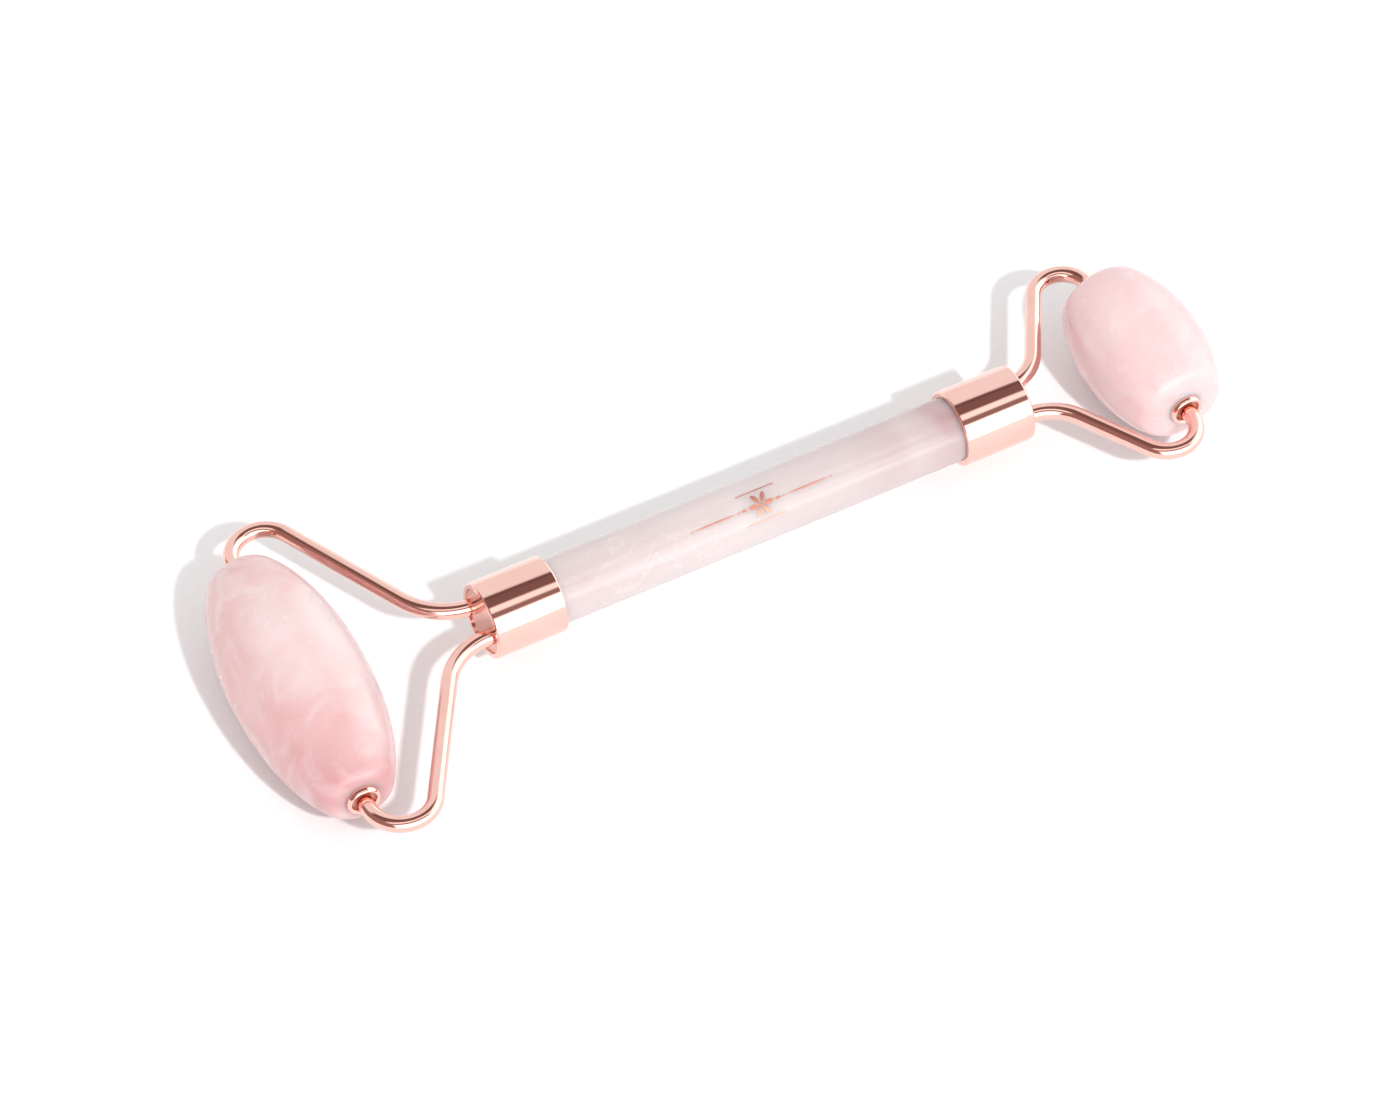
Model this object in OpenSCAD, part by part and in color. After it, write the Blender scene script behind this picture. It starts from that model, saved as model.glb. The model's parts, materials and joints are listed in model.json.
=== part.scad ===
// Two-ended stone face roller: a quartz handle rod with a large and a small barrel roller,
// each turning between the two arms of a bent wire yoke.
//
// The handle's axis is the X axis, with the large roller at -X and the origin at the middle
// of the rod that shows. Both yokes lie flat in the XY plane. The small roller turns about
// an axis along Y, and the large one about an axis that leans from Y as its yoke does.

/* [Handle rod] */
// Diameter of the stone rod
rod_d = 9.6; // [8:0.1:14]
// Length of rod that shows between the two ferrules
rod_shown = 64; // [40:1:110]
// Length of rod glued into each ferrule
rod_in_ferrule = 4.8; // [3:0.2:8]
// Chamfer on the rod's hidden ends
rod_chamfer = 0.4; // [0.2:0.1:0.8]

/* [Ferrules and end plates] */
// Wall of the ferrule tube
ferrule_wall = 0.8; // [0.5:0.1:1.5]
// Radius that softens the ferrule's two outer edges
ferrule_edge = 0.3; // [0.1:0.05:0.4]
// Thickness of the plate that closes the ferrule
plate_t = 1.2; // [0.8:0.1:2]
// How far the plate sits back from the ferrule's end
plate_recess = 0.25; // [0.1:0.05:0.5]

/* [Yoke wire] */
// Diameter of the wire
wire_d = 2.4; // [2:0.1:2.9]
// Gap between each leg and the wall of the ferrule
leg_gap = 0.65; // [0.6:0.05:0.9]
// Straight run of each leg behind the plate, before the hairpin that joins the two legs
leg_run = 0.35; // [0.2:0.05:4]
// Gap between the hairpin and the rod's end
hairpin_gap = 0.1; // [0.05:0.05:1]
// Chamfer on the tips of the pins
pin_chamfer = 0.3; // [0.1:0.1:0.5]

/* [Large yoke] */
// Distance from the ferrule's end to the large roller's axis
large_reach = 27.3; // [22:0.1:40]
// Bend radius where each arm spreads from the handle
large_spread_r = 9.5; // [6:0.5:12]
// Bend radius of the corner that turns each arm in to the roller
large_corner_r = 4.8; // [3.5:0.1:6]
// How far this yoke leans from square to the handle, in degrees, as bent by hand
large_lean = 3.4; // [0:0.2:5]

/* [Small yoke] */
// Distance from the ferrule's end to the small roller's axis
small_reach = 20.6; // [17:0.1:32]
// Bend radius where each arm spreads from the handle
small_spread_r = 7.8; // [5:0.2:9]
// Bend radius of the corner that turns each arm in to the roller
small_corner_r = 4.4; // [3.5:0.1:6]

/* [Large roller] */
// Diameter of the large stone at its middle
large_stone_d = 19.6; // [16:0.2:26]
// Length of the large stone
large_stone_len = 43.8; // [32:0.2:54]
// Diameter of the large barrel at its ends, before they are rounded
large_stone_end_d = 8.8; // [8.4:0.1:14]

/* [Small roller] */
// Diameter of the small stone at its middle
small_stone_d = 18; // [15:0.2:24]
// Length of the small stone
small_stone_len = 25; // [20:0.2:34]
// Diameter of the small barrel at its ends, before they are rounded
small_stone_end_d = 11.4; // [8.4:0.1:14]

/* [Both stones] */
// Width of the band round a stone's middle that is ground straight, so that it lies steady
stone_band = 4; // [2:0.5:8]
// Length over which a stone's side rounds into its flat end
stone_round = 1.8; // [1:0.1:2.6]
// Width of the flat ring of stone outside the eyelet's collar
stone_seat = 0.4; // [0.2:0.1:0.6]

/* [Eyelets and bushes] */
// How far the eyelet's rolled collar stands out past its tube
collar_lap = 0.4; // [0.3:0.05:0.7]
// Height of the collar over the stone's end
collar_t = 0.8; // [0.5:0.1:1.2]
// Wall of the eyelet's tube inside the stone
eyelet_wall = 0.4; // [0.3:0.05:0.6]
// Length of the eyelet's tube inside the stone
eyelet_len = 5; // [3:0.5:7]
// Wall of the nylon bush that lines the eyelet
bush_wall = 0.45; // [0.3:0.05:0.6]
// Thickness of the bush's head, which sits behind the eyelet's tube
bush_head_t = 0.8; // [0.5:0.1:1.2]
// How far the bush stops below the top of the collar
bush_recess = 0.8; // [0.4:0.1:2]

/* [Clearances] */
// Radial clearance of the pin in its bush, a running fit
pin_clearance = 0.05; // [0.02:0.01:0.09]
// Sideways play of each roller, to each side, before its collar meets the wire's corner
side_play = 1; // [0.5:0.1:3]
// Radial gap for glue, between the rod and a ferrule or an eyelet and its stone
glue_gap = 0.05; // [0.02:0.01:0.1]
// Radial gap for solder, between a leg and its hole or a plate and its ferrule
solder_gap = 0.03; // [0.02:0.01:0.1]
// Radial gap between the pin and the hole drilled right through each stone
drill_gap = 0.5; // [0.3:0.05:0.6]
// Length of pin past the end of its bush, inside the stone
pin_overrun = 0.6; // [0.3:0.1:1]

/* [Hidden] */
$fn = 48;
stone_steps = 20;          // segments of the barrel's curve, on each side of its middle
round_steps = 8;           // segments of the curve that rounds a stone's end
collar_steps = 12;         // segments of the collar's rolled edge
wire_lap = 0.05;           // how far a straight runs on into a bend, so that the two fuse
wire_step = 0.005;         // how much a straight stands out over a bend's skin, all round
rose_gold = [0.86, 0.62, 0.56];
quartz = [0.96, 0.80, 0.80];

bore_d = rod_d + 2 * glue_gap;
ferrule_d = bore_d + 2 * ferrule_wall;
leg_offset = bore_d / 2 - leg_gap - wire_d / 2;
leg_straight = plate_recess + plate_t + leg_run;
cavity_len = leg_run + leg_offset + wire_d / 2 + hairpin_gap;
ferrule_len = plate_recess + plate_t + cavity_len + rod_in_ferrule;

bush_d = wire_d + 2 * pin_clearance + 2 * bush_wall;
eyelet_d = bush_d + 2 * eyelet_wall;
collar_d = eyelet_d + 2 * collar_lap;
socket_d = eyelet_d + 2 * glue_gap;
drill_d = wire_d + 2 * drill_gap;
socket_depth = eyelet_len + bush_head_t;
pin_depth = socket_depth + pin_overrun;

large_end_x = -rod_shown / 2 - ferrule_len;
small_end_x = rod_shown / 2 + ferrule_len;

// ---- places -------------------------------------------------------------------------

// The frame of each ferrule: its origin is on the handle's axis at the ferrule's outer end,
// and its +X points away from the handle.
module at_large_end() {
    translate([large_end_x, 0, 0]) rotate([0, 0, 180]) children();
}

module at_small_end() {
    translate([small_end_x, 0, 0]) children();
}

// The frame of a roller: its origin is at the roller's middle and its +Y points along the
// roller's axis to the far end.
module at_large_roller() {
    translate([large_end_x, 0, 0]) rotate([0, 0, -large_lean])
        translate([-large_reach, 0, 0]) children();
}

module at_small_roller() {
    translate([small_end_x + small_reach, 0, 0]) children();
}

// The frame of a roller's end, inside the roller's own frame: its origin is at the middle of
// the stone's flat end and its +Z points outwards. side is -1 for the near end, 1 for the far.
module at_stone_end(stone_len, side) {
    translate([0, side * stone_len / 2, 0]) rotate([-90 * side, 0, 0]) children();
}

// ---- shapes -------------------------------------------------------------------------

// A round bar along Z with a chamfer at the ends that are asked for
module bar(d, len, chamfer_low = 0, chamfer_high = 0) {
    low = chamfer_low;
    high = chamfer_high;
    rotate_extrude()
        polygon([
            [0, 0], [d / 2 - low, 0], [d / 2, low],
            [d / 2, len - high], [d / 2 - high, len], [0, len],
        ]);
}

// The outline of a tube wall whose two outer edges are rounded
module wall_outline(r_in, r_out, len, edge) {
    translate([r_in, 0]) square([r_out - r_in - edge, len]);
    translate([r_in, edge]) square([r_out - r_in, len - 2 * edge]);
    translate([r_out - edge, edge]) circle(edge);
    translate([r_out - edge, len - edge]) circle(edge);
}

// A ferrule along X, open at both ends, with its outer end at the origin
module ferrule() {
    rotate([0, -90, 0]) rotate_extrude()
        wall_outline(bore_d / 2, ferrule_d / 2, ferrule_len, ferrule_edge);
}

// The plate in the ferrule's outer end, with a hole for each leg, drilled as the yoke leans
module end_plate(lean) {
    difference() {
        translate([-plate_recess - plate_t, 0, 0]) rotate([0, 90, 0])
            cylinder(d = bore_d - 2 * solder_gap, h = plate_t);
        for (side = [-1, 1])
            rotate([0, 0, -lean])
                translate([-plate_recess - 2 * plate_t, side * leg_offset, 0])
                    rotate([0, 90, 0]) cylinder(d = wire_d + 2 * solder_gap, h = 4 * plate_t);
    }
}

// The resin cast behind the plate, round the hairpin that joins the two legs
module potting(lean) {
    difference() {
        translate([-plate_recess - plate_t - cavity_len, 0, 0]) rotate([0, 90, 0])
            cylinder(d = bore_d, h = cavity_len);
        rotate([0, 0, -lean]) hairpin(wire_d);
    }
}

// ---- the wire -----------------------------------------------------------------------

// An arc of wire in the XY plane about the origin, from one angle to another
module wire_arc(r, from, to, d = wire_d) {
    rotate([0, 0, from]) rotate_extrude(angle = to - from) translate([r, 0]) circle(d / 2);
}

// A straight piece of wire along Z. Its skin stands a hair proud of the bends that it joins,
// so its two ends close over them cleanly.
module wire_straight(len, d = wire_d) {
    translate([0, 0, -wire_lap]) cylinder(d = d + 2 * wire_step, h = len + 2 * wire_lap);
}

// The hairpin and the straight legs, up to the ferrule's end
module hairpin(d) {
    for (side = [-1, 1])
        translate([-leg_straight, side * leg_offset, 0]) rotate([0, 90, 0])
            wire_straight(leg_straight, d);
    translate([-leg_straight, 0, 0]) wire_arc(leg_offset, 90, 270, d);
}

// The angle at which an arm leaves the handle, so that its straight part runs from the
// spreading bend to the corner bend and is tangent to both
function arm_angle(dx, dy, spread_r, corner_r) =
    atan2(dy, dx) + asin((spread_r + corner_r) / norm([dx, dy]));

// One arm: spreading bend, straight part, corner bend and pin
module arm(reach, spread_r, corner_r, corner_y, pin_end_y) {
    spread_c = [0, leg_offset + spread_r];
    corner_c = [reach - corner_r, corner_y];
    dx = corner_c.x - spread_c.x;
    dy = corner_c.y - spread_c.y;
    angle = arm_angle(dx, dy, spread_r, corner_r);
    across = [-sin(angle), cos(angle)];
    from = spread_c - spread_r * across;
    to = corner_c + corner_r * across;

    translate(spread_c) wire_arc(spread_r, -90, angle - 90);
    translate(from) rotate([0, 90, angle]) wire_straight(norm(to - from));
    translate(corner_c) wire_arc(corner_r, 0, 90 + angle);
    translate([reach, corner_y + wire_lap, 0]) rotate([90, 0, 0])
        bar(wire_d + 2 * wire_step, corner_y + wire_lap - pin_end_y, chamfer_high = pin_chamfer);
}

module yoke(reach, spread_r, corner_r, stone_len, lean) {
    corner_y = stone_len / 2 + collar_t + side_play;
    pin_end_y = stone_len / 2 - pin_depth;
    rotate([0, 0, -lean]) {
        hairpin(wire_d);
        for (side = [0, 1])
            mirror([0, side, 0]) arm(reach, spread_r, corner_r, corner_y, pin_end_y);
    }
}

// ---- the rollers --------------------------------------------------------------------

// Radius of the barrel at a distance y from its middle: part of an ellipse that has radius
// r at the middle and end_r at half_len
function barrel_r(y, r, end_r, half_len) =
    r * sqrt(1 - (1 - pow(end_r / r, 2)) * pow(y / half_len, 2));

// Slope of the barrel's side at the same distance
function barrel_slope(y, r, end_r, half_len) =
    -pow(r, 2) * (1 - pow(end_r / r, 2)) * y / pow(half_len, 2) / barrel_r(y, r, end_r, half_len);

// A point on the curve that leaves point a towards b and arrives at point c from b
function rounded(a, b, c, t) = pow(1 - t, 2) * a + 2 * t * (1 - t) * b + pow(t, 2) * c;

// A barrel stone along Y: its side, its rounded ends, the hole through it and the two sockets
module stone(d, len, end_d) {
    half = len / 2;
    band = stone_band / 2;
    side_end = half - stone_round;
    full_r = d / 2 + (d / 2 - barrel_r(band, d / 2, end_d / 2, half));
    start = [barrel_r(side_end, full_r, end_d / 2, half), side_end];
    corner = [start.x + stone_round * barrel_slope(side_end, full_r, end_d / 2, half), half];
    seat = [collar_d / 2 + stone_seat, half];
    far_side = [
        for (i = [1 : stone_steps])
            let (y = band + (side_end - band) * sin(90 * i / stone_steps))
            [barrel_r(y, full_r, end_d / 2, half), y]
    ];
    near_side = [for (i = [stone_steps - 1 : -1 : 0]) [far_side[i].x, -far_side[i].y]];
    side_points = concat(near_side, [[d / 2, -band], [d / 2, band]], far_side);
    end_points = [for (i = [1 : round_steps]) rounded(start, corner, seat, i / round_steps)];
    other_end = [for (i = [round_steps - 1 : -1 : 0]) [end_points[i].x, -end_points[i].y]];
    difference() {
        rotate([-90, 0, 0]) rotate_extrude($fn = 96)
            polygon(concat([[0, -half]], other_end, side_points, end_points, [[0, half]]));
        rotate([90, 0, 0]) cylinder(d = drill_d, h = len + 2, center = true);
        for (side = [-1, 1])
            translate([0, side * half, 0]) rotate([90 * side, 0, 0])
                translate([0, 0, -1]) cylinder(d = socket_d, h = socket_depth + 1);
    }
}

// A polished eyelet, seated on a stone's flat end: a tube with a collar rolled outwards
module eyelet() {
    roll_in = bush_d / 2;
    roll_out = collar_d / 2;
    roll = [
        for (i = [0 : collar_steps])
            let (a = 180 * i / collar_steps)
            [(roll_in + roll_out) / 2 + (roll_out - roll_in) / 2 * cos(a), collar_t * sin(a)]
    ];
    rotate_extrude()
        polygon(concat(
            [[roll_in, -eyelet_len], [eyelet_d / 2, -eyelet_len], [eyelet_d / 2, 0]], roll
        ));
}

// The nylon bush in an eyelet, with its head behind the eyelet's tube
module bush() {
    bore_r = wire_d / 2 + pin_clearance;
    rotate_extrude() {
        translate([bore_r, -socket_depth])
            square([bush_wall, socket_depth + collar_t - bush_recess]);
        translate([bore_r, -socket_depth])
            square([eyelet_d / 2 - bore_r, bush_head_t]);
    }
}

// ---- the parts ----------------------------------------------------------------------

module handle_rod() {
    color(quartz)
        translate([-rod_shown / 2 - rod_in_ferrule, 0, 0]) rotate([0, 90, 0])
            bar(rod_d, rod_shown + 2 * rod_in_ferrule, rod_chamfer, rod_chamfer);
}

module large_ferrule() { color(rose_gold) at_large_end() ferrule(); }
module large_end_plate() { color(rose_gold) at_large_end() end_plate(large_lean); }
module large_potting() { color("wheat") at_large_end() potting(large_lean); }
module large_yoke() {
    color(rose_gold) at_large_end()
        yoke(large_reach, large_spread_r, large_corner_r, large_stone_len, large_lean);
}

module small_ferrule() { color(rose_gold) at_small_end() ferrule(); }
module small_end_plate() { color(rose_gold) at_small_end() end_plate(0); }
module small_potting() { color("wheat") at_small_end() potting(0); }
module small_yoke() {
    color(rose_gold) at_small_end()
        yoke(small_reach, small_spread_r, small_corner_r, small_stone_len, 0);
}

module large_roller_stone() {
    color(quartz) at_large_roller() stone(large_stone_d, large_stone_len, large_stone_end_d);
}
module large_near_eyelet() {
    color(rose_gold) at_large_roller() at_stone_end(large_stone_len, -1) eyelet();
}
module large_near_bush() {
    color("white") at_large_roller() at_stone_end(large_stone_len, -1) bush();
}
module large_far_eyelet() {
    color(rose_gold) at_large_roller() at_stone_end(large_stone_len, 1) eyelet();
}
module large_far_bush() {
    color("white") at_large_roller() at_stone_end(large_stone_len, 1) bush();
}

module small_roller_stone() {
    color(quartz) at_small_roller() stone(small_stone_d, small_stone_len, small_stone_end_d);
}
module small_near_eyelet() {
    color(rose_gold) at_small_roller() at_stone_end(small_stone_len, -1) eyelet();
}
module small_near_bush() {
    color("white") at_small_roller() at_stone_end(small_stone_len, -1) bush();
}
module small_far_eyelet() {
    color(rose_gold) at_small_roller() at_stone_end(small_stone_len, 1) eyelet();
}
module small_far_bush() {
    color("white") at_small_roller() at_stone_end(small_stone_len, 1) bush();
}

handle_rod();
large_ferrule();
large_end_plate();
large_potting();
large_yoke();
small_ferrule();
small_end_plate();
small_potting();
small_yoke();
large_roller_stone();
large_near_eyelet();
large_near_bush();
large_far_eyelet();
large_far_bush();
small_roller_stone();
small_near_eyelet();
small_near_bush();
small_far_eyelet();
small_far_bush();
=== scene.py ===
# %% [markdown]
# # A two-ended quartz face roller
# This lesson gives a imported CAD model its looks. The real object is a round rod of rose quartz
# with a rose-gold ferrule on each end. A bent wire yoke stands in each ferrule and holds a
# barrel-shaped stone, which turns on the wire's two inward pins. The CAD model has every size
# and place right, but its surfaces are small flat facets. Polished stone and mirror-bright metal
# show each facet, so the pieces that show are made again here as smooth meshes on the same axes.

# %% Load the frame and keep its box
import json
import math

import bmesh
import bpy
from mathutils import Matrix, Vector, noise


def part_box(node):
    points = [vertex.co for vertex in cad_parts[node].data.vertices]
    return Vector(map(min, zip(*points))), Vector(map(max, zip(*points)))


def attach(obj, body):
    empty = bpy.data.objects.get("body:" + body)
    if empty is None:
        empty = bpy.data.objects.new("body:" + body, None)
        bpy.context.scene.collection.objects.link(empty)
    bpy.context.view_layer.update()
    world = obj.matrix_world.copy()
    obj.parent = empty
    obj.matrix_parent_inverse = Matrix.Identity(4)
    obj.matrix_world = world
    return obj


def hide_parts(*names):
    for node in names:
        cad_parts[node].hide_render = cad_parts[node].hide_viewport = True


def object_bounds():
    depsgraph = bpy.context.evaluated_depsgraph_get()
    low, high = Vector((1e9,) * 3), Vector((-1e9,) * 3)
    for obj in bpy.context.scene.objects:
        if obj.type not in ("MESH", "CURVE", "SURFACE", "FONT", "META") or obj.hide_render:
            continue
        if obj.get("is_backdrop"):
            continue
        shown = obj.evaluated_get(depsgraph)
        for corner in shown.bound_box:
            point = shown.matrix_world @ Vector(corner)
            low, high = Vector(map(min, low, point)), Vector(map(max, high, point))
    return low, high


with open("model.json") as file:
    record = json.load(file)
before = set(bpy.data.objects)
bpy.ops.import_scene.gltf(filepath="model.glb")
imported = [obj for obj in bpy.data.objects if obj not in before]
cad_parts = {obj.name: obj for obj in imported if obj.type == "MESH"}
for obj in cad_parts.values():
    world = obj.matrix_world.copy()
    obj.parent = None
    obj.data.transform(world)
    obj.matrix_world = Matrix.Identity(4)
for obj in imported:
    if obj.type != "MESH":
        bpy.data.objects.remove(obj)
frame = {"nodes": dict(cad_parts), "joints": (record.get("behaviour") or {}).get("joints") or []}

MM = 0.001
cad_box = [list(corner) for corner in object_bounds()]
print("CAD box in mm:", [[round(c / MM, 2) for c in corner] for corner in cad_box])

# %% [markdown]
# ## Where things are
# Every place comes from the frame. The ferrules' boxes give the two ends of the handle, and each
# joint gives a roller's middle and the line it turns about. The large yoke was bent a little out
# of square by hand, so its roller's line leans by a few degrees, and the joint's axis says so.

# %% Read the places that the pieces are built on
joints = {joint["name"]: joint for joint in frame["joints"]}


def size_of(node):
    low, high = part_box(node)
    return high - low


rod_r = size_of("handle_rod").y / 2
ferrule_r = size_of("large_ferrule").y / 2
ferrule_len = size_of("large_ferrule").x
handle_end = {"large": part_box("large_ferrule")[0].x, "small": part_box("small_ferrule")[1].x}

roller_middle, roller_line = {}, {}
for end in ("large", "small"):
    joint = joints[end + "_roller_spin"]
    roller_middle[end] = Vector(joint["pos_m"])
    roller_line[end] = Vector(joint["axis"]).normalized()
    print(end, "roller at", [round(c / MM, 2) for c in roller_middle[end]], "mm")
print("rod radius", round(rod_r / MM, 3), "ferrule radius", round(ferrule_r / MM, 3), "mm")

# %% [markdown]
# ## The camera
# A small object is best seen from well back through a long lens, which keeps its proportions
# true. This camera looks down at about fifty degrees, across the handle.

# %% Place the camera
LOOK = Vector((0.30954, 0.56689, -0.76343)).normalized()
HEAD = Vector((0.3620, 0.6722, 0.6459))
side = LOOK.cross(HEAD).normalized()
head = side.cross(LOOK).normalized()

lens = bpy.data.cameras.new("long_lens")
lens.sensor_width = 36.0
lens.lens = 188.8
lens.clip_start = 0.05
lens.clip_end = 20.0
camera = bpy.data.objects.new("camera", lens)
bpy.context.scene.collection.objects.link(camera)
camera.matrix_world = (
    Matrix.Translation(Vector((-0.32866, -0.58669, 0.78394)))
    @ Matrix((side, head, -LOOK)).transposed().to_4x4()
)
bpy.context.scene.camera = camera
print("camera looks down by", round(math.degrees(math.asin(-LOOK.z)), 1), "degrees")

# %% [markdown]
# ## Small helpers for shaders
# A shader is a graph. Two helpers keep the graphs readable: one adds a node and sets it up, the
# other joins an output to an input.

# %% Helpers for node graphs
def add(tree, kind, **settings):
    node = tree.nodes.new("ShaderNode" + kind)
    for name, value in settings.items():
        if name.startswith("in_"):
            key = name[3:]
            socket = node.inputs[int(key)] if key.isdigit() else node.inputs[key.replace("_", " ")]
            socket.default_value = value
        else:
            setattr(node, name, value)
    return node


def join(tree, source, target):
    tree.links.new(source, target)


def ramp(tree, value, stops):
    node = add(tree, "ValToRGB")
    elements = node.color_ramp.elements
    for extra in stops[2:]:
        elements.new(extra[0])
    for element, (position, _) in zip(elements, stops):
        element.position = position
    for element, (_, colour) in zip(elements, stops):
        element.color = (*colour, 1.0)
    join(tree, value, node.inputs["Fac"])
    return node.outputs["Color"]


def math_node(tree, operation, first, second=None):
    node = add(tree, "Math", operation=operation)
    for socket, value in zip(node.inputs, (first, second)):
        if value is None:
            continue
        if isinstance(value, (int, float)):
            socket.default_value = value
        else:
            join(tree, value, socket)
    return node.outputs[0]


def spread(tree, value, low, high, to_low=0.0, to_high=1.0):
    node = add(tree, "MapRange", in_1=low, in_2=high, in_3=to_low, in_4=to_high)
    join(tree, value, node.inputs[0])
    return node.outputs[0]


def new_group(name, inputs, outputs):
    group = bpy.data.node_groups.new(name, "ShaderNodeTree")
    for title, kind, value in inputs:
        socket = group.interface.new_socket(title, in_out="INPUT", socket_type="NodeSocket" + kind)
        if kind == "Float":
            socket.default_value = value
    for title, kind in outputs:
        group.interface.new_socket(title, in_out="OUTPUT", socket_type="NodeSocket" + kind)
    return group, group.nodes.new("NodeGroupInput"), group.nodes.new("NodeGroupOutput")


def new_material(name, **fixed):
    material = bpy.data.materials.new(name)
    material.use_nodes = True
    tree = material.node_tree
    shader = tree.nodes["Principled BSDF"]
    for title, value in fixed.items():
        shader.inputs[title.replace("_", " ")].default_value = value
    return material, tree, shader


def place_group(tree, group, vector, **values):
    node = tree.nodes.new("ShaderNodeGroup")
    node.node_tree = group
    join(tree, vector, node.inputs["Vector"])
    for title, value in values.items():
        node.inputs[title.replace("_", " ")].default_value = value
    return node


def bump(tree, height, strength, distance):
    node = add(tree, "Bump", in_Strength=strength, in_Distance=distance)
    join(tree, height, node.inputs["Height"])
    return node.outputs["Normal"]


def mixed(tree, factor, first, second):
    node = add(tree, "Mix", data_type="RGBA")
    join(tree, factor, node.inputs[0])
    for socket, value in ((node.inputs[6], first), (node.inputs[7], second)):
        if isinstance(value, tuple):
            socket.default_value = (*value, 1.0)
        else:
            join(tree, value, socket)
    return node.outputs[2]


# %% [markdown]
# ## The studio
# The set is a white tent on a white table. Mirror-bright metal shows nothing but its
# surroundings, so the tent matters more than the lamps. It is bright on the camera's side, with
# a strip lamp low in that wall, and bright at the small roller's end. The large roller's end is
# an open doorway, and is dim. A gap overhead, with one thin bright strip beside it, draws the
# dark bands along every polished tube.
#
# The colour is worked out from the direction alone: first the angle round the handle's line,
# then how far the direction leans along that line. Stone and table don't mirror the tent, so
# they are lit by an even white, which has less grain.

# %% Build the tent
def tent_stop(degrees, colour):
    return (degrees / 360 + 0.5, colour)


world = bpy.data.worlds.new("tent")
bpy.context.scene.world = world
world.use_nodes = True
tree = world.node_tree
tree.nodes.clear()
direction = add(tree, "TexCoord")
split = add(tree, "SeparateXYZ")
join(tree, direction.outputs["Generated"], split.inputs[0])
towards = math_node(tree, "MULTIPLY", split.outputs["Y"], -1.0)
around = math_node(tree, "ARCTAN2", towards, split.outputs["Z"])
turn = math_node(tree, "ADD", math_node(tree, "DIVIDE", around, 2 * math.pi), 0.5)
DIM, WALL, STRIP = (0.95, 0.95, 0.95), (2.2, 2.2, 2.15), (4.5, 4.5, 4.4)
SEAM, GAP, SECOND_GAP = (0.14, 0.07, 0.05), (0.22, 0.13, 0.12), (0.31, 0.21, 0.20)
ROOF_STRIP = (1.3, 1.25, 1.2)
END_WALL, DOORWAY = (2.0, 1.98, 1.95), (0.36, 0.22, 0.20)
tent = ramp(tree, turn, [
    tent_stop(-180, DIM),
    tent_stop(-27, (1.0, 1.0, 1.0)),
    tent_stop(-20, SEAM),
    tent_stop(-11, GAP),
    tent_stop(10, GAP),
    tent_stop(15, ROOF_STRIP),
    tent_stop(26, ROOF_STRIP),
    tent_stop(31, SECOND_GAP),
    tent_stop(42, SECOND_GAP),
    tent_stop(47, WALL),
    tent_stop(68, WALL),
    tent_stop(71, STRIP),
    tent_stop(79, STRIP),
    tent_stop(82, WALL),
    tent_stop(92, WALL),
    tent_stop(108, (1.1, 1.1, 1.1)),
    tent_stop(180, DIM),
])
tent = mixed(tree, spread(tree, split.outputs["X"], 0.55, 0.72), tent, END_WALL)
tent = mixed(tree, spread(tree, split.outputs["X"], -0.52, -0.66), tent, DOORWAY)
mirrored = add(tree, "Background")
join(tree, tent, mirrored.inputs["Color"])
even = add(tree, "Background", in_Color=(1.0, 0.985, 0.985, 1.0), in_Strength=0.92)
ray = add(tree, "LightPath")
mix = add(tree, "MixShader")
join(tree, ray.outputs["Is Glossy Ray"], mix.inputs[0])
join(tree, even.outputs[0], mix.inputs[1])
join(tree, mirrored.outputs[0], mix.inputs[2])
out = add(tree, "OutputWorld")
join(tree, mix.outputs[0], out.inputs["Surface"])
bpy.context.scene.view_settings.view_transform = "Standard"
print("the tent's gap is", GAP)

# %% [markdown]
# A single key lamp stands on the camera's side, about forty-five degrees up, and throws the
# shadows to the far side of the handle, with edges that are only a little soft. The tent already
# gives the lamp's reflection, so the lamp itself is kept out of mirrors.

# %% Add the key lamp
KEY_DIRECTION = Vector((-0.013, 0.70, -0.713))
key = bpy.data.lights.new("key", "SUN")
key.energy = 2.0
key.angle = math.radians(3.0)
key_lamp = bpy.data.objects.new("key", key)
bpy.context.scene.collection.objects.link(key_lamp)
key_lamp.rotation_euler = KEY_DIRECTION.to_track_quat("-Z", "Y").to_euler()
key_lamp.visible_glossy = False
print("key lamp", round(math.degrees(math.asin(-KEY_DIRECTION.normalized().z)), 1), "degrees up")

# %% [markdown]
# The tool lies on the fullest part of each barrel. The stones differ in thickness, so a level
# table is a slightly tilted plane in the handle's frame: it passes just under both stones.

# %% Lay the table
table_mat, tree, shader = new_material("table_paper", Specular_IOR_Level=0.2)
place = add(tree, "TexCoord")
fibres = add(tree, "TexNoise", in_Scale=900.0, in_Detail=3.0)
join(tree, place.outputs["Object"], fibres.inputs["Vector"])
paper = ramp(tree, fibres.outputs["Fac"], [(0.3, (0.89, 0.885, 0.89)), (0.7, (0.91, 0.905, 0.91))])
join(tree, paper, shader.inputs["Base Color"])
join(tree, spread(tree, fibres.outputs["Fac"], 0.3, 0.7, 0.6, 0.7), shader.inputs["Roughness"])

touch = {end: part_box(end + "_roller_stone")[0].z for end in ("large", "small")}
run = roller_middle["small"].x - roller_middle["large"].x
slope = (touch["small"] - touch["large"]) / run
TABLE_HALF, TABLE_DROP = 3.0, 0.03 * MM
bm = bmesh.new()
bmesh.ops.create_grid(bm, x_segments=8, y_segments=8, size=TABLE_HALF)
for corner in bm.verts:
    corner.co.z = touch["large"] + slope * (corner.co.x - roller_middle["large"].x) - TABLE_DROP
mesh = bpy.data.meshes.new("table")
bm.to_mesh(mesh)
bm.free()
mesh.materials.append(table_mat)
table = bpy.data.objects.new("table", mesh)
bpy.context.scene.collection.objects.link(table)
table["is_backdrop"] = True
print("table tilts by", round(math.degrees(math.atan(slope)), 3), "degrees")

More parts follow.
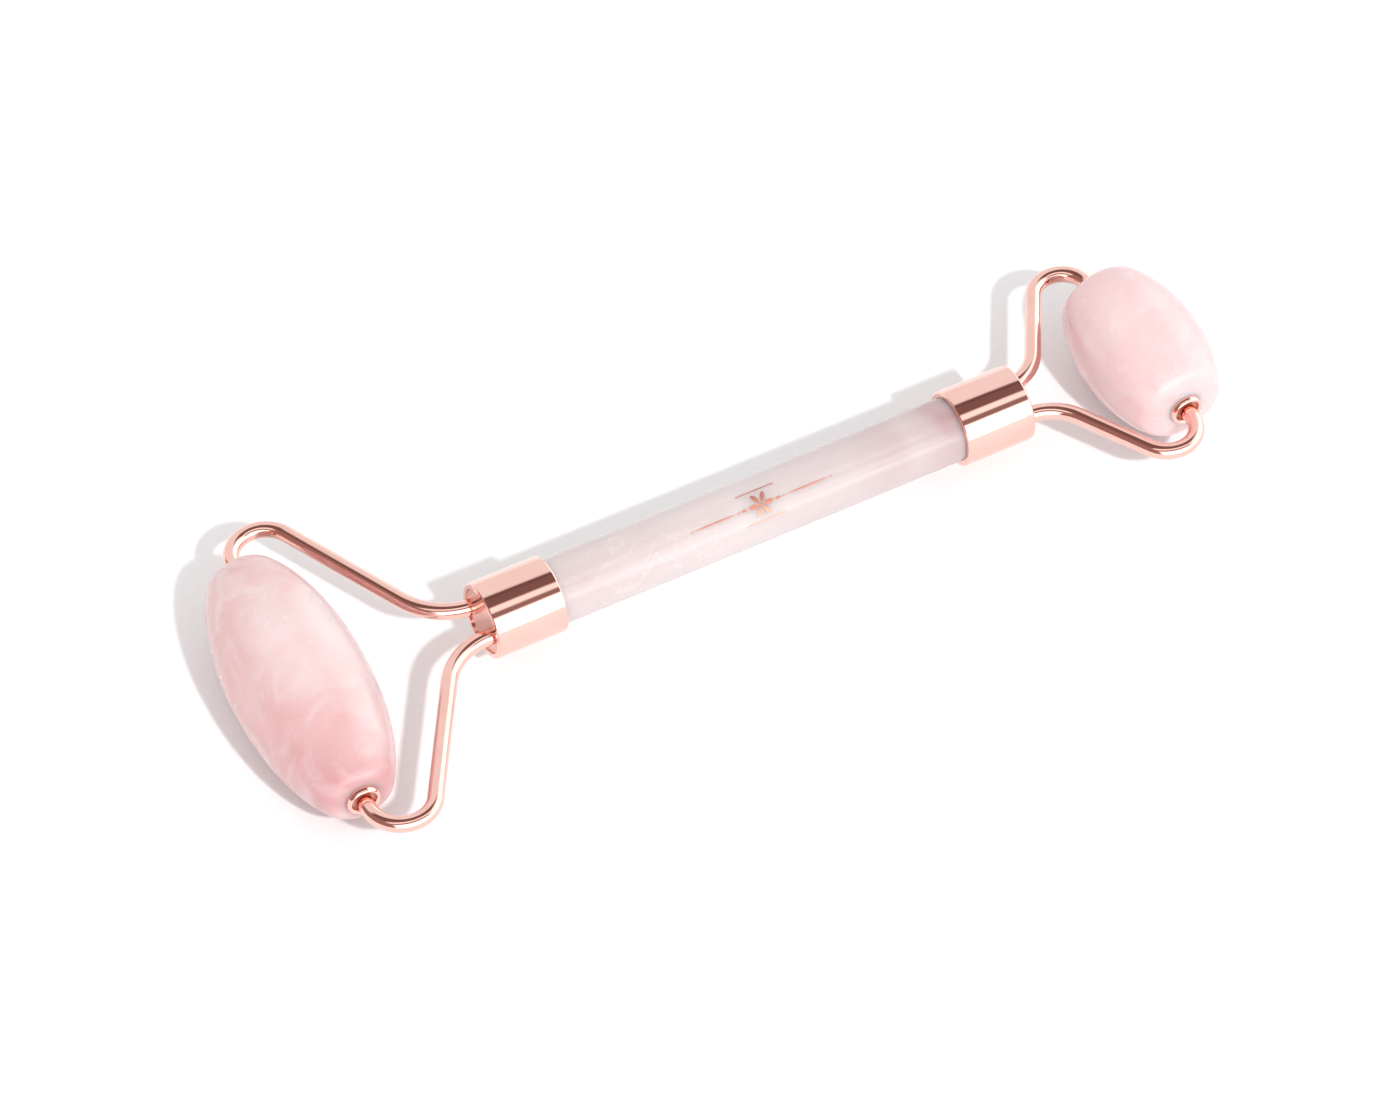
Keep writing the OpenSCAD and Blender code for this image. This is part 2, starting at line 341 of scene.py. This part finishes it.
# %% [markdown]
# ## Rose quartz
# Rose quartz is clear quartz filled with very fine fibres, so light goes in, scatters a few
# millimetres deep and comes out pink. A subsurface shader does this. The colour isn't even: there
# are paler clouds, and thin white veils where a crack has healed. Three materials need these
# effects, so they are a group: it gives masks only, and each material colours them in its own way.

# %% Build the group of clouds and veils
quartz_body, entry, result = new_group(
    "quartz_body",
    [("Vector", "Vector", None), ("Cloud Size", "Float", 90.0), ("Veil Size", "Float", 160.0),
     ("Seed", "Float", 0.0)],
    [("Cloud", "Float"), ("Wisp", "Float"), ("Veil", "Float"), ("Polish", "Float")],
)
t = quartz_body
shift = add(t, "VectorMath", operation="ADD")
offset = add(t, "CombineXYZ")
for axis in "XYZ":
    join(t, entry.outputs["Seed"], offset.inputs[axis])
join(t, entry.outputs["Vector"], shift.inputs[0])
join(t, offset.outputs[0], shift.inputs[1])
where = shift.outputs[0]

cloud = add(t, "TexNoise", in_Detail=2.0, in_Roughness=0.45, in_Distortion=0.8)
join(t, where, cloud.inputs["Vector"])
join(t, entry.outputs["Cloud Size"], cloud.inputs["Scale"])
join(t, spread(t, cloud.outputs["Fac"], 0.36, 0.64), result.inputs["Cloud"])

wisp = add(t, "TexNoise", in_Detail=3.0, in_Roughness=0.5, in_Distortion=1.8)
join(t, where, wisp.inputs["Vector"])
join(t, math_node(t, "MULTIPLY", entry.outputs["Cloud Size"], 2.2), wisp.inputs["Scale"])
join(t, spread(t, wisp.outputs["Fac"], 0.48, 0.72), result.inputs["Wisp"])

sheet = add(t, "TexNoise", in_Detail=4.0, in_Roughness=0.55, in_Distortion=2.2)
join(t, where, sheet.inputs["Vector"])
join(t, entry.outputs["Veil Size"], sheet.inputs["Scale"])
ridge = math_node(t, "ABSOLUTE", math_node(t, "SUBTRACT", sheet.outputs["Fac"], 0.5))
thin = spread(t, ridge, 0.0, 0.018, 1.0, 0.0)
patch = add(t, "TexNoise", in_Detail=1.0)
join(t, where, patch.inputs["Vector"])
join(t, math_node(t, "MULTIPLY", entry.outputs["Veil Size"], 0.55), patch.inputs["Scale"])
few = spread(t, patch.outputs["Fac"], 0.52, 0.72)
join(t, math_node(t, "MULTIPLY", thin, few), result.inputs["Veil"])

lap = add(t, "TexNoise", in_Scale=260.0, in_Detail=2.0, in_Roughness=0.5)
join(t, where, lap.inputs["Vector"])
join(t, lap.outputs["Fac"], result.inputs["Polish"])
print("group", t.name, "has", len(t.nodes), "nodes")

# %% [markdown]
# The rollers are cut from cloudy stone: a warm pink, deeper in places, with paler clouds. Light and shade
# are also painted into each stone's colour: it is painted paler towards one spot on its lit side, and the
# large one is painted deeper towards its ends, as painted shade. Each of the two does so its own way. The
# surface is tumbled to a soft polish.

# %% Make the stone of the rollers
def roller_stone(name, seed, painted_end_shade, deep, pale, painted_light_at, painted_light_fade):
    material, tree, shader = new_material(
        name, IOR=1.54, Subsurface_Weight=1.0, Subsurface_Scale=0.005, Coat_Weight=0.12,
        Coat_Roughness=0.12,
    )
    shader.inputs["Subsurface Radius"].default_value = (1.0, 0.48, 0.45)
    place = add(tree, "TexCoord")
    body = place_group(tree, quartz_body, place.outputs["Object"], Cloud_Size=60.0, Veil_Size=150.0,
                       Seed=seed)
    # Painted light: the colour grows paler near one spot on the stone's lit side, and beyond that it is
    # painted deeper towards the ends, as painted shade.
    painted_light_distance = add(tree, "VectorMath", operation="DISTANCE", in_1=painted_light_at)
    join(tree, place.outputs["Object"], painted_light_distance.inputs[0])
    painted_light_zone = spread(tree, painted_light_distance.outputs["Value"], 4 * MM, painted_light_fade * MM, 1.0, 0.0)
    painted_light_and_cloud = math_node(tree, "ADD", math_node(tree, "MULTIPLY", painted_light_zone, 0.55),
                      math_node(tree, "MULTIPLY", body.outputs["Cloud"], 0.45))
    pink = mixed(tree, painted_light_and_cloud, deep, pale)
    painted_shade_ends = spread(tree, painted_light_distance.outputs["Value"], (painted_light_fade + 1) * MM, (painted_light_fade + 9) * MM, 0.0, 0.85)
    pink = mixed(tree, painted_shade_ends, pink, painted_end_shade)
    pink = mixed(tree, math_node(tree, "MULTIPLY", body.outputs["Wisp"], 0.4), pink, MILKY)
    pink = mixed(tree, math_node(tree, "MULTIPLY", body.outputs["Veil"], 0.25), pink, HEALED_CRACK)
    join(tree, pink, shader.inputs["Base Color"])
    join(tree, spread(tree, body.outputs["Polish"], 0.3, 0.7, 0.22, 0.28), shader.inputs["Roughness"])
    join(tree, bump(tree, body.outputs["Veil"], 0.1, 0.000004), shader.inputs["Normal"])
    print("material", name, "is palest at", [round(c / MM, 1) for c in painted_light_at], "mm")
    return material


MILKY, HEALED_CRACK = (0.77, 0.68, 0.68), (0.92, 0.86, 0.86)
SMALL_DEEP = (0.73, 0.51, 0.51)
roller_quartz = {
    "large": roller_stone(
        "large_quartz", seed=0.31, painted_end_shade=(0.56, 0.30, 0.305), deep=(0.665, 0.405, 0.40),
        pale=(0.735, 0.61, 0.61), painted_light_fade=16.5,
        painted_light_at=roller_middle["large"] + Vector((6.5, 1.5, 7.0)) * MM,
    ),
    "small": roller_stone(
        "small_quartz", seed=0.87, painted_end_shade=SMALL_DEEP, deep=SMALL_DEEP,
        pale=(0.76, 0.60, 0.61), painted_light_fade=19.0,
        painted_light_at=roller_middle["small"] + Vector((-5.0, -4.0, 2.0)) * MM,
    ),
}

# %% [markdown]
# The rod is cut from clearer stone of the same kind, paler, and ground round. Towards the small roller's
# end it is painted deeper and a little violet, as painted shade where the ferrule's shadow shows through
# the clear stone.

# %% Make the stone of the rod
rod_quartz, tree, shader = new_material(
    "rod_quartz", IOR=1.54, Subsurface_Weight=1.0, Subsurface_Scale=0.006, Specular_IOR_Level=0.45,
)
shader.inputs["Subsurface Radius"].default_value = (1.0, 0.8, 0.8)
place = add(tree, "TexCoord")
body = place_group(tree, quartz_body, place.outputs["Object"], Cloud_Size=60.0, Veil_Size=110.0, Seed=1.7)
split = add(tree, "SeparateXYZ")
join(tree, place.outputs["Object"], split.inputs[0])
length = spread(tree, split.outputs["X"], -32 * MM, 32 * MM)
# The last stops of this ramp are painted shade: the ferrule's shadow seen through the stone near the
# small end.
along = ramp(tree, length, [
    (0.0, (0.57, 0.475, 0.47)), (0.45, (0.61, 0.55, 0.545)), (0.72, (0.575, 0.505, 0.505)),
    (0.87, (0.53, 0.42, 0.425)), (0.96, (0.42, 0.25, 0.26)),
])
pale = mixed(tree, math_node(tree, "MULTIPLY", body.outputs["Cloud"], 0.5), along, (0.62, 0.575, 0.575))
pale = mixed(tree, math_node(tree, "MULTIPLY", body.outputs["Veil"], 0.35), pale, (0.86, 0.8, 0.8))
join(tree, pale, shader.inputs["Base Color"])
join(tree, spread(tree, body.outputs["Polish"], 0.3, 0.7, 0.17, 0.22), shader.inputs["Roughness"])
join(tree, bump(tree, body.outputs["Veil"], 0.1, 0.000003), shader.inputs["Normal"])
print("material", rod_quartz.name)

# %% [markdown]
# ## Rose gold
# The metal is brass with a thin plating of copper and gold. Its colour is in the reflection, so it
# is fully metallic and nearly a mirror. What makes it real is what polishing leaves: hair-fine
# scratches, a slight orange-peel in the plating, and a faint change of tint where it was handled.
# The end plates are given a redder, darker tint, which is a painted dark reflection, and a duller polish.
# Ferrules, wires, plates and the printed foil share these effects through one group.

# %% Build the group of polishing marks
polished_skin, entry, result = new_group(
    "polished_skin",
    [("Vector", "Vector", None), ("Handling", "Float", 130.0), ("Hairs", "Float", 1800.0)],
    [("Smudge", "Float"), ("Hair", "Float"), ("Peel", "Float")],
)
t = polished_skin
smudge = add(t, "TexNoise", in_Detail=4.0, in_Roughness=0.6, in_Distortion=0.4)
join(t, entry.outputs["Vector"], smudge.inputs["Vector"])
join(t, entry.outputs["Handling"], smudge.inputs["Scale"])
join(t, spread(t, smudge.outputs["Fac"], 0.38, 0.68), result.inputs["Smudge"])

stretch = add(t, "Mapping")
stretch.inputs["Rotation"].default_value = (0.4, 0.7, 0.3)
stretch.inputs["Scale"].default_value = (1.0, 0.06, 1.0)
join(t, entry.outputs["Vector"], stretch.inputs["Vector"])
hair = add(t, "TexNoise", in_Detail=2.0, in_Distortion=0.2)
join(t, stretch.outputs[0], hair.inputs["Vector"])
join(t, entry.outputs["Hairs"], hair.inputs["Scale"])
line = math_node(t, "ABSOLUTE", math_node(t, "SUBTRACT", hair.outputs["Fac"], 0.5))
join(t, spread(t, line, 0.0, 0.02, 1.0, 0.0), result.inputs["Hair"])

peel = add(t, "TexNoise", in_Scale=700.0, in_Detail=2.0)
join(t, entry.outputs["Vector"], peel.inputs["Vector"])
join(t, peel.outputs["Fac"], result.inputs["Peel"])
print("group", t.name, "has", len(t.nodes), "nodes")

# %% Make the polished metal, the drawn wire and the foil
def metal(name, tint, wear_and_shade, smooth, rough, peel_height, handling):
    material, tree, shader = new_material(name, Metallic=1.0)
    place = add(tree, "TexCoord")
    skin = place_group(tree, polished_skin, place.outputs["Object"], Handling=handling)
    colour = mixed(tree, math_node(tree, "MULTIPLY", skin.outputs["Smudge"], 0.6), tint, wear_and_shade)
    join(tree, colour, shader.inputs["Base Color"])
    dull = spread(tree, skin.outputs["Smudge"], 0.0, 1.0, smooth, rough)
    dull = math_node(tree, "ADD", dull, math_node(tree, "MULTIPLY", skin.outputs["Hair"], 0.03))
    join(tree, dull, shader.inputs["Roughness"])
    join(tree, bump(tree, skin.outputs["Peel"], 0.3, peel_height), shader.inputs["Normal"])
    print("material", name)
    return material


ferrule_gold = metal("ferrule_gold", (0.93, 0.60, 0.53), (0.90, 0.56, 0.49), 0.05, 0.10, 0.000004, 150.0)
wire_gold = metal("wire_gold", (0.92, 0.58, 0.51), (0.88, 0.53, 0.46), 0.06, 0.13, 0.000006, 220.0)
# Painted dark reflection: the plates' two tints are redder and darker than the ferrules' metal, standing
# in for the dark reflections on them.
plate_gold_painted_dark = metal("plate_gold_painted_dark", (0.80, 0.42, 0.35), (0.62, 0.27, 0.21), 0.14, 0.30, 0.000008, 420.0)
foil_copper = metal("foil_copper", (0.80, 0.36, 0.27), (0.86, 0.44, 0.35), 0.44, 0.55, 0.000004, 400.0)

# %% [markdown]
# Inside each eyelet is a nylon bush, moulded in a copper tint so that it doesn't show. Behind each
# end plate the ferrule is filled with cast resin. Both stay as the CAD made them, with materials.

# %% Make the nylon and the resin
nylon, tree, shader = new_material(
    "tinted_nylon", IOR=1.53, Subsurface_Weight=0.2, Subsurface_Scale=0.0008,
)
place = add(tree, "TexCoord")
grain = add(tree, "TexNoise", in_Scale=2500.0, in_Detail=3.0)
join(tree, place.outputs["Object"], grain.inputs["Vector"])
copper_tint = ramp(tree, grain.outputs["Fac"], [(0.3, (0.52, 0.25, 0.19)), (0.7, (0.60, 0.31, 0.24))])
join(tree, copper_tint, shader.inputs["Base Color"])
join(tree, spread(tree, grain.outputs["Fac"], 0.3, 0.7, 0.42, 0.55), shader.inputs["Roughness"])

resin, tree, shader = new_material("cast_resin", IOR=1.55, Subsurface_Weight=0.3, Subsurface_Scale=0.001)
place = add(tree, "TexCoord")
swirl = add(tree, "TexNoise", in_Scale=700.0, in_Detail=3.0, in_Distortion=1.0)
join(tree, place.outputs["Object"], swirl.inputs["Vector"])
amber = ramp(tree, swirl.outputs["Fac"], [(0.3, (0.52, 0.36, 0.16)), (0.7, (0.62, 0.46, 0.24))])
join(tree, amber, shader.inputs["Base Color"])
join(tree, spread(tree, swirl.outputs["Fac"], 0.3, 0.7, 0.12, 0.25), shader.inputs["Roughness"])
print("materials", nylon.name, resin.name)

# %% [markdown]
# ## Finishing every mesh the same way
# A new piece is built as a bmesh in the frame's own place, so its object stays at the origin.
# Finishing merges doubled points, turns the faces outwards, smooths the shading except across
# real edges, gives the piece its material and slot, and lets it ride on its body.

# %% Helper that turns a bmesh into a finished piece
def finish_piece(bm, name, material, body, nodes=(), sharp=38.0):
    bmesh.ops.remove_doubles(bm, verts=bm.verts, dist=0.0005 * MM)
    bmesh.ops.recalc_face_normals(bm, faces=bm.faces)
    for face in bm.faces:
        face.smooth = True
    for edge in bm.edges:
        if len(edge.link_faces) == 2:
            edge.smooth = edge.calc_face_angle(0.0) < math.radians(sharp)
    mesh = bpy.data.meshes.new(name)
    bm.to_mesh(mesh)
    bm.free()
    mesh.materials.append(material)
    piece = bpy.data.objects.new(name, mesh)
    bpy.context.scene.collection.objects.link(piece)
    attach(piece, body)
    if nodes:
        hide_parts(*nodes)
    triangles = sum(len(face.vertices) - 2 for face in mesh.polygons)
    print(name, "rides on", body, "with", triangles, "triangles")
    return piece


# %% [markdown]
# ## Turned pieces
# The stones, ferrules, eyelets and rod were all made by turning, and spin is Blender's lathe. A
# single vertex is extruded from point to point to draw half of the outline, and the outline is
# spun once round the axis. Outline points are given as radius and height in millimetres.

# %% Helper that turns an outline on the lathe
def turned(outline, place, steps=96, closed=False):
    """outline is a list of (radius, height) in mm, and place is the matrix that puts +Z on the axis."""
    bm = bmesh.new()
    first = bmesh.ops.create_vert(bm, co=(outline[0][0] * MM, 0, outline[0][1] * MM))["vert"][0]
    last = first
    for radius, height in outline[1:]:
        last = bmesh.ops.extrude_vert_indiv(bm, verts=[last])["verts"][0]
        last.co = (radius * MM, 0, height * MM)
    if closed:
        bm.edges.new((last, first))
    bmesh.ops.spin(
        bm, geom=bm.verts[:] + bm.edges[:], cent=(0, 0, 0), axis=(0, 0, 1), dvec=(0, 0, 0),
        angle=2 * math.pi, steps=steps, use_merge=True, use_duplicate=False,
    )
    bmesh.ops.remove_doubles(bm, verts=bm.verts, dist=0.0005 * MM)
    bmesh.ops.transform(bm, matrix=place, verts=bm.verts)
    return bm


def axis_frame(origin, direction):
    turn = Vector((0, 0, 1)).rotation_difference(direction)
    return Matrix.Translation(origin) @ turn.to_matrix().to_4x4()


# %% [markdown]
# ### The two barrel stones
# Each stone is a barrel: part of an ellipse, ground straight for a few millimetres round its
# middle so that it lies steady. Its ends round over into a small flat seat for the eyelet, and
# a hole is drilled through. Stones are shaped and polished by hand against a wheel, so the side
# isn't quite true. Noise pushes it inwards by a few hundredths of a millimetre, which is enough
# to make its soft reflections waver.

# %% Turn the stones
BARRELS = {
    "large": {"middle_d": 19.6, "length": 43.8, "end_d": 8.8},
    "small": {"middle_d": 18.0, "length": 25.0, "end_d": 11.4},
}
BAND = 4.0
END_ROUND = 1.8
SEAT_R = 2.9
BORE_R, BORE_DEPTH, DRILL_R, LIP = 2.15, 5.8, 1.7, 0.12
SIDE_STEPS, ROUND_STEPS = 30, 12


def barrel_outline(middle_d, length, end_d):
    half, end_r = length / 2, end_d / 2

    def bowed(y, r):
        return r * math.sqrt(1 - (1 - (end_r / r) ** 2) * (y / half) ** 2)

    full_r = middle_d - bowed(BAND / 2, middle_d / 2)
    r, bow = full_r, 1 - (end_r / full_r) ** 2

    def radius(y):
        return min(bowed(y, full_r), middle_d / 2)

    side_end = half - END_ROUND
    slope = -(r ** 2) * bow * side_end / half ** 2 / radius(side_end)
    start = Vector((radius(side_end), side_end))
    corner = Vector((start.x + END_ROUND * slope, half))
    seat = Vector((SEAT_R, half))
    turns = [math.pi / 2 * i / SIDE_STEPS for i in range(-SIDE_STEPS, SIDE_STEPS + 1)]
    heights = [side_end * math.sin(turn) for turn in turns]
    side = [(radius(height), height) for height in heights]
    over = []
    for i in range(1, ROUND_STEPS + 1):
        s = i / ROUND_STEPS
        point = (1 - s) ** 2 * start + 2 * s * (1 - s) * corner + s ** 2 * seat
        over.append((point.x, point.y))
    socket_end = half - BORE_DEPTH
    lip = [(BORE_R + LIP, half), (BORE_R, half - LIP), (BORE_R, socket_end), (DRILL_R, socket_end)]
    mirrored = [(x, -y) for x, y in reversed(over + lip)]
    return mirrored + side + over + lip


WEAR_DEPTH, WEAR_WAVE, UNWORN_R = 0.06, 7.0, 3.2


def worn_by_hand(bm, middle, line, seed):
    """Pushes the outer surface in by up to the wear depth, in soft waves, and leaves the seats true."""
    for vert in bm.verts:
        out = (vert.co - middle) - (vert.co - middle).dot(line) * line
        if out.length < UNWORN_R * MM:
            continue
        where = (vert.co - middle) / (WEAR_WAVE * MM) + Vector((seed, seed, seed))
        swell = 0.5 + 0.5 * noise.noise(where)
        vert.co -= out.normalized() * WEAR_DEPTH * MM * max(0.0, min(1.0, swell))


for end, seed in (("large", 3.1), ("small", 7.9)):
    place = axis_frame(roller_middle[end], roller_line[end])
    bm = turned(barrel_outline(**BARRELS[end]), place, steps=128, closed=True)
    worn_by_hand(bm, roller_middle[end], roller_line[end], seed)
    finish_piece(bm, end + "_stone", roller_quartz[end], end + "_roller",
                 [end + "_roller_stone"])

# %% [markdown]
# ### The eyelets
# An eyelet is a short brass tube pressed into the stone, with its lip rolled outwards into a
# rounded collar. It stops the stone from chipping and is the bright ring round each pin.

# %% Turn the eyelets
EYELET_IN, EYELET_OUT, COLLAR_R, COLLAR_T, EYELET_LEN = 1.7, 2.1, 2.5, 0.8, 5.0
ROLL_STEPS = 24


def eyelet_outline():
    roll = []
    middle, half = (EYELET_IN + COLLAR_R) / 2, (COLLAR_R - EYELET_IN) / 2
    for i in range(ROLL_STEPS + 1):
        a = math.pi * i / ROLL_STEPS
        roll.append((middle + half * math.cos(a), COLLAR_T * math.sin(a)))
    return [(EYELET_IN, -EYELET_LEN), (EYELET_OUT, -EYELET_LEN), (EYELET_OUT, 0.0)] + roll


for end in ("large", "small"):
    for where, sign in (("near", -1), ("far", 1)):
        out = roller_line[end] * sign
        seat = roller_middle[end] + out * BARRELS[end]["length"] / 2 * MM
        bm = turned(eyelet_outline(), axis_frame(seat, out), steps=64, closed=True)
        node = f"{end}_{where}_eyelet"
        finish_piece(bm, f"{end}_{where}_ring", ferrule_gold, end + "_roller", [node])

# %% [markdown]
# ### The rod
# The rod is ground round, so it stays true. Only its ends, glued inside the ferrules, are
# chamfered.

# %% Turn the rod
ROD_CHAMFER, ROD_STEPS = 0.4, 60
low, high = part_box("handle_rod")
half = (high.x - low.x) / 2 / MM
radius = rod_r / MM
side_end = half - ROD_CHAMFER
outline = [(0.0, -half), (radius - ROD_CHAMFER, -half)]
outline += [(radius, side_end * (2 * i / ROD_STEPS - 1)) for i in range(ROD_STEPS + 1)]
outline += [(radius - ROD_CHAMFER, half), (0.0, half)]
bm = turned(outline, axis_frame(Vector((0, 0, 0)), Vector((1, 0, 0))), steps=128)
finish_piece(bm, "rod", rod_quartz, "handle", ["handle_rod"])

# %% [markdown]
# ### The foil ornament
# The middle of the rod carries a small hot-stamped foil, thin enough to feel flat. Here it is a
# plain rosette between two lines. The shapes are laid out flat, cut into smaller faces so that
# they can follow the curve, given their thickness, and then rolled onto the rod: the height on
# the flat sheet becomes an angle round the rod.

# %% Stamp the ornament
FOIL = 0.02
FOIL_TURN = math.radians(33)


def flat_spot(bm, at, long_r, short_r, turn, sides=20):
    place = (
        Matrix.Rotation(turn, 4, "Z") @ Matrix.Translation(Vector((at * MM, 0, 0)))
        @ Matrix.Diagonal((long_r * MM, short_r * MM, 1, 1))
    )
    bmesh.ops.create_circle(bm, cap_ends=True, cap_tris=True, segments=sides, radius=1.0, matrix=place)


bm = bmesh.new()
for petal in range(6):
    flat_spot(bm, 1.2, 0.75, 0.33, petal * math.pi / 3)
flat_spot(bm, 0.0, 0.3, 0.3, 0.0)
for turn in (0.0, math.pi):
    flat_spot(bm, 2.7, 0.45, 0.2, turn)
    flat_spot(bm, 3.6, 0.14, 0.14, turn)
    flat_spot(bm, 7.4, 3.2, 0.12, turn, sides=40)
    flat_spot(bm, 11.1, 0.14, 0.14, turn)
for side_row in (-1, 1):
    made = bmesh.ops.create_grid(bm, x_segments=30, y_segments=1, size=0.5)["verts"]
    bmesh.ops.scale(bm, vec=(6.0 * MM, 0.16 * MM, 1), verts=made)
    bmesh.ops.translate(bm, vec=(0, side_row * 2.3 * MM, 0), verts=made)
bmesh.ops.subdivide_edges(bm, edges=bm.edges[:], cuts=2, use_grid_fill=True)
raised = bmesh.ops.extrude_face_region(bm, geom=bm.faces[:], use_keep_orig=True)["geom"]
raised = [g for g in raised if isinstance(g, bmesh.types.BMVert)]
bmesh.ops.translate(bm, vec=(0, 0, 1.5 * FOIL * MM), verts=raised)
for vert in bm.verts:
    angle = FOIL_TURN - vert.co.y / rod_r
    lift = rod_r + vert.co.z - FOIL * MM / 2
    vert.co = (vert.co.x, -lift * math.sin(angle), lift * math.cos(angle))
finish_piece(bm, "foil_ornament", foil_copper, "handle")

# %% [markdown]
# ### The ferrules
# Each ferrule is a short length of tube. Its square outline is spun first, and a bevel then
# rounds the outer edges, as tumbling did on the real one.

# %% Turn the ferrules and bevel their edges
GLUE, RIM_ROUND, NEAR = 0.05, 0.3, 0.01 * MM
BORE = rod_r / MM + GLUE
for end, sign in (("large", -1), ("small", 1)):
    outer, length = ferrule_r / MM, ferrule_len / MM
    outline = [(BORE, 0.0), (outer, 0.0), (outer, -length), (BORE, -length)]
    place = axis_frame(Vector((handle_end[end], 0, 0)), Vector((sign, 0, 0)))
    bm = turned(outline, place, steps=128, closed=True)
    rims = [
        edge for edge in bm.edges
        if all(abs(math.hypot(v.co.y, v.co.z) - ferrule_r) < NEAR for v in edge.verts)
        and abs(edge.verts[0].co.x - edge.verts[1].co.x) < NEAR
    ]
    bmesh.ops.bevel(bm, geom=rims, offset=RIM_ROUND * MM, offset_type="OFFSET", segments=5, profile=0.5,
                    affect="EDGES", material=-1)
    finish_piece(bm, end + "_sleeve", ferrule_gold, "handle", [end + "_ferrule"])

# %% [markdown]
# ## The wire yokes
# A yoke is one length of round wire bent flat: two legs joined by a hairpin inside the ferrule,
# two arms that spread, two corners, and two pins that point at each other. It is made here as a
# wire bender makes it. A circle is the end of the wire; extruding it feeds a straight, and
# spinning it about a pivot makes a bend. The bender keeps its own place and heading, so each
# piece starts exactly where the last one stopped.

# %% Make a wire bender
WIRE_R, LEG = 1.2, 1.8
YOKES = {"large": {"spread_r": 9.5, "corner_r": 4.8}, "small": {"spread_r": 7.8, "corner_r": 4.4}}
LEG_OFFSET, SIDE_PLAY, PIN_DEPTH, PIN_ROUND = 3.0, 1.0, 6.4, 0.25


class Bender:
    def __init__(self, bm, start, heading, sides=40):
        self.bm, self.at, self.heading = bm, Vector(start), Vector(heading).normalized()
        made = bmesh.ops.create_circle(bm, cap_ends=False, segments=sides, radius=WIRE_R * MM,
                                       matrix=axis_frame(self.at, self.heading))
        self.ring = list({edge for vert in made["verts"] for edge in vert.link_edges})
        self.first_ring = self.ring

    def feed(self, length, cuts=1):
        for _ in range(cuts):
            made = bmesh.ops.extrude_edge_only(self.bm, edges=self.ring)["geom"]
            step = self.heading * length / cuts * MM
            fed = [g for g in made if isinstance(g, bmesh.types.BMVert)]
            bmesh.ops.translate(self.bm, vec=step, verts=fed)
            self.ring = [g for g in made if isinstance(g, bmesh.types.BMEdge)]
            self.at += step

    def bend(self, radius, degrees, steps):
        """Turns left for a positive angle and right for a negative one, seen from above."""
        left = Vector((0, 0, 1)).cross(self.heading)
        sign = 1 if degrees > 0 else -1
        pivot = self.at + left * radius * MM * sign
        made = bmesh.ops.spin(self.bm, geom=self.ring, cent=pivot, axis=(0, 0, 1), dvec=(0, 0, 0),
                              angle=math.radians(degrees), steps=steps, use_duplicate=False)["geom_last"]
        self.ring = [g for g in made if isinstance(g, bmesh.types.BMEdge)]
        turn = Matrix.Rotation(math.radians(degrees), 3, "Z")
        self.at = pivot + turn @ (self.at - pivot)
        self.heading = turn @ self.heading


# %% [markdown]
# The arm's angle isn't measured: it is the one angle at which the straight part is tangent to
# both of its bends.

# %% Bend the two yokes
def bend_yoke(end):
    sign = -1 if end == "large" else 1
    foot = Vector((handle_end[end], 0, 0))
    across = roller_line[end]
    along = Vector((across.y, -across.x, 0)) * sign
    reach = (roller_middle[end] - foot).length / MM
    corner_r, spread_r = YOKES[end]["corner_r"], YOKES[end]["spread_r"]
    half = BARRELS[end]["length"] / 2
    corner_y = half + COLLAR_T + SIDE_PLAY
    dx, dy = reach - corner_r, corner_y - LEG_OFFSET - spread_r
    angle = math.degrees(math.atan2(dy, dx) + math.asin((spread_r + corner_r) / math.hypot(dx, dy)))
    straight = math.sqrt(dx * dx + dy * dy - (spread_r + corner_r) ** 2)
    # the wire starts at the tip of the pin on this side of the handle's line
    out = across if sign > 0 else -across
    tip = foot + along * reach * MM + out * (half - PIN_DEPTH) * MM
    bm = bmesh.new()
    wire = Bender(bm, tip, out)
    wire.feed(corner_y - half + PIN_DEPTH, cuts=3)
    wire.bend(corner_r, 90 + angle, 40)
    wire.feed(straight, cuts=12)
    wire.bend(spread_r, -angle, 28)
    wire.feed(LEG)
    wire.bend(LEG_OFFSET, 180, 32)
    wire.feed(LEG)
    wire.bend(spread_r, -angle, 28)
    wire.feed(straight, cuts=12)
    wire.bend(corner_r, 90 + angle, 40)
    wire.feed(corner_y - half + PIN_DEPTH, cuts=3)
    for ring in (wire.first_ring, wire.ring):
        cap = bmesh.ops.contextual_create(bm, geom=ring)["faces"]
        bmesh.ops.bevel(bm, geom=[e for f in cap for e in f.edges], offset=PIN_ROUND * MM,
                        offset_type="OFFSET", segments=2, profile=0.5, affect="EDGES", material=-1)
    other_tip = foot + along * reach * MM - out * (half - PIN_DEPTH) * MM
    print(end, "arm leaves at", round(angle, 2), "degrees; the wire closes to",
          round((wire.at - other_tip).length / MM, 4), "mm")
    return bm


for end in ("large", "small"):
    finish_piece(bend_yoke(end), end + "_wire", wire_gold, "handle", [end + "_yoke"])

# %% [markdown]
# ## The frame's own pieces
# The end plates, bushes and resin keep the meshes the CAD gave them, because they are flat, tiny
# or hidden. They only get their materials.

# %% Give the CAD pieces their materials
for name, node in frame["nodes"].items():
    finish = ferrule_gold
    for ending, other in (("bush", nylon), ("potting", resin), ("end_plate", plate_gold_painted_dark)):
        finish = other if name.endswith(ending) else finish
    node.data.materials.clear()
    node.data.materials.append(finish)
print(len(frame["nodes"]), "CAD nodes have a finish")

# %% [markdown]
# ## The two boxes
# Both boxes, the CAD model's and the visual model's, are printed in millimetres. The visual
# model must stay inside the CAD model's box.

# %% Print the boxes and finish
visual_box = [list(corner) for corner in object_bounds()]
for name, box in (("CAD", cad_box), ("visual", visual_box)):
    print(name, [[round(c / MM, 3) for c in corner] for corner in box])
